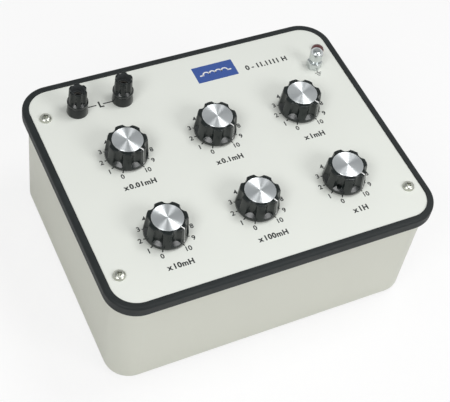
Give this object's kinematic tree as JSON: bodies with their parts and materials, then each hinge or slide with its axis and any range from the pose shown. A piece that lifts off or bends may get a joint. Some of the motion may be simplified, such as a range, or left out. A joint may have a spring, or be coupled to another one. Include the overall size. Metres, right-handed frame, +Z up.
{
  "type": "decade inductance box",
  "caption": "Bench box with rotary decade dials on its panel that switch coils in series between two binding posts, with an earth terminal.",
  "frame": {"origin": "middle of the footprint, on the plane that the feet stand on", "axes": "+X along the width to the right, +Y to the back where the terminals are, +Z up"},
  "size_m": [0.2084, 0.1688, 0.1018],
  "materials": {
    "case": "satin ivory",
    "panel": "satin ivory paint",
    "trim": "matt black rubber",
    "screw": "nickel plate",
    "seal": "red lacquer",
    "foot": "matt black rubber",
    "nut": "zinc plate",
    "board": "green board",
    "post": "black",
    "stud": "dull nickel plate",
    "tag": "tinned brass",
    "wire": "red sleeving",
    "earth": "chrome plate",
    "switch": "phenolic and brass",
    "shaft": "plain brass",
    "coil": "wound ferrite drum",
    "knob": "black phenolic",
    "disc": "spun aluminium",
    "grub": "blackened steel",
    "washer": "nickel plate"
  },
  "bodies": {
    "box": {"case": "case", "front_panel": "panel", "rim_trim": "trim", "panel_screws": "screw", "screw_seal": "seal", "feet": "foot", "foot_screws": "screw", "switch_nuts": "nut", "switch_washers": "nut", "coil_board": "board", "post_collars": "post", "post_back_bushes": "post", "post_studs": "stud", "post_nuts": "nut", "solder_tags": "tag", "hookup_wires": "wire", "earth_base": "earth", "earth_rear_nut": "nut", "switch_body_1": "switch", "decade_coils_1": "coil", "switch_body_2": "switch", "decade_coils_2": "coil", "switch_body_3": "switch", "decade_coils_3": "coil", "switch_body_4": "switch", "decade_coils_4": "coil", "switch_body_5": "switch", "decade_coils_5": "coil", "switch_body_6": "switch", "decade_coils_6": "coil"},
    "dial_1": {"knob_1": "knob", "knob_cap_1": "disc", "grub_screw_1": "grub", "switch_shaft_1": "shaft"},
    "dial_2": {"knob_2": "knob", "knob_cap_2": "disc", "grub_screw_2": "grub", "switch_shaft_2": "shaft"},
    "dial_3": {"knob_3": "knob", "knob_cap_3": "disc", "grub_screw_3": "grub", "switch_shaft_3": "shaft"},
    "dial_4": {"knob_4": "knob", "knob_cap_4": "disc", "grub_screw_4": "grub", "switch_shaft_4": "shaft"},
    "dial_5": {"knob_5": "knob", "knob_cap_5": "disc", "grub_screw_5": "grub", "switch_shaft_5": "shaft"},
    "dial_6": {"knob_6": "knob", "knob_cap_6": "disc", "grub_screw_6": "grub", "switch_shaft_6": "shaft"},
    "clamp_1": {"post_washer_1": "washer"},
    "cap_1": {"post_cap_1": "post"},
    "clamp_2": {"post_washer_2": "washer"},
    "cap_2": {"post_cap_2": "post"},
    "earth_clamp": {"earth_washer": "earth"},
    "earth_thumb": {"earth_cap": "earth"}
  },
  "joints": [
    {"name": "dial_1_turn", "type": "hinge", "parent": "box", "child": "dial_1", "pos_m": [-0.0574, 0.0179, 0.083], "axis": [0, 0, 1], "range_deg": [0, 300]},
    {"name": "dial_2_turn", "type": "hinge", "parent": "box", "child": "dial_2", "pos_m": [0, 0.0179, 0.083], "axis": [0, 0, 1], "range_deg": [0, 300]},
    {"name": "dial_3_turn", "type": "hinge", "parent": "box", "child": "dial_3", "pos_m": [0.0574, 0.0179, 0.083], "axis": [0, 0, 1], "range_deg": [0, 300]},
    {"name": "dial_4_turn", "type": "hinge", "parent": "box", "child": "dial_4", "pos_m": [-0.0574, -0.0415, 0.083], "axis": [0, 0, 1], "range_deg": [0, 300]},
    {"name": "dial_5_turn", "type": "hinge", "parent": "box", "child": "dial_5", "pos_m": [0, -0.0415, 0.083], "axis": [0, 0, 1], "range_deg": [0, 300]},
    {"name": "dial_6_turn", "type": "hinge", "parent": "box", "child": "dial_6", "pos_m": [0.0574, -0.0415, 0.083], "axis": [0, 0, 1], "range_deg": [0, 300]},
    {"name": "post_1_lift", "type": "slide", "parent": "box", "child": "clamp_1", "axis": [0, 0, 1], "range_m": [0, 0.004]},
    {"name": "post_1_turn", "type": "hinge", "parent": "clamp_1", "child": "cap_1", "pos_m": [-0.0724, 0.0595, 0.083], "axis": [0, 0, 1], "range_deg": [0, 1440]},
    {"name": "post_2_lift", "type": "slide", "parent": "box", "child": "clamp_2", "axis": [0, 0, 1], "range_m": [0, 0.004]},
    {"name": "post_2_turn", "type": "hinge", "parent": "clamp_2", "child": "cap_2", "pos_m": [-0.0434, 0.0595, 0.083], "axis": [0, 0, 1], "range_deg": [0, 1440]},
    {"name": "earth_lift", "type": "slide", "parent": "box", "child": "earth_clamp", "axis": [0, 0, 1], "range_m": [0, 0.0035]},
    {"name": "earth_turn", "type": "hinge", "parent": "earth_clamp", "child": "earth_thumb", "pos_m": [0.0834, 0.0476, 0.083], "axis": [0, 0, 1], "range_deg": [0, 1800]}
  ],
  "couplings": [
    {"joint": "post_1_turn", "follows": "post_1_lift", "rad_per_m": 6283.2},
    {"joint": "post_2_turn", "follows": "post_2_lift", "rad_per_m": 6283.2},
    {"joint": "earth_turn", "follows": "earth_lift", "rad_per_m": 8976}
  ]
}
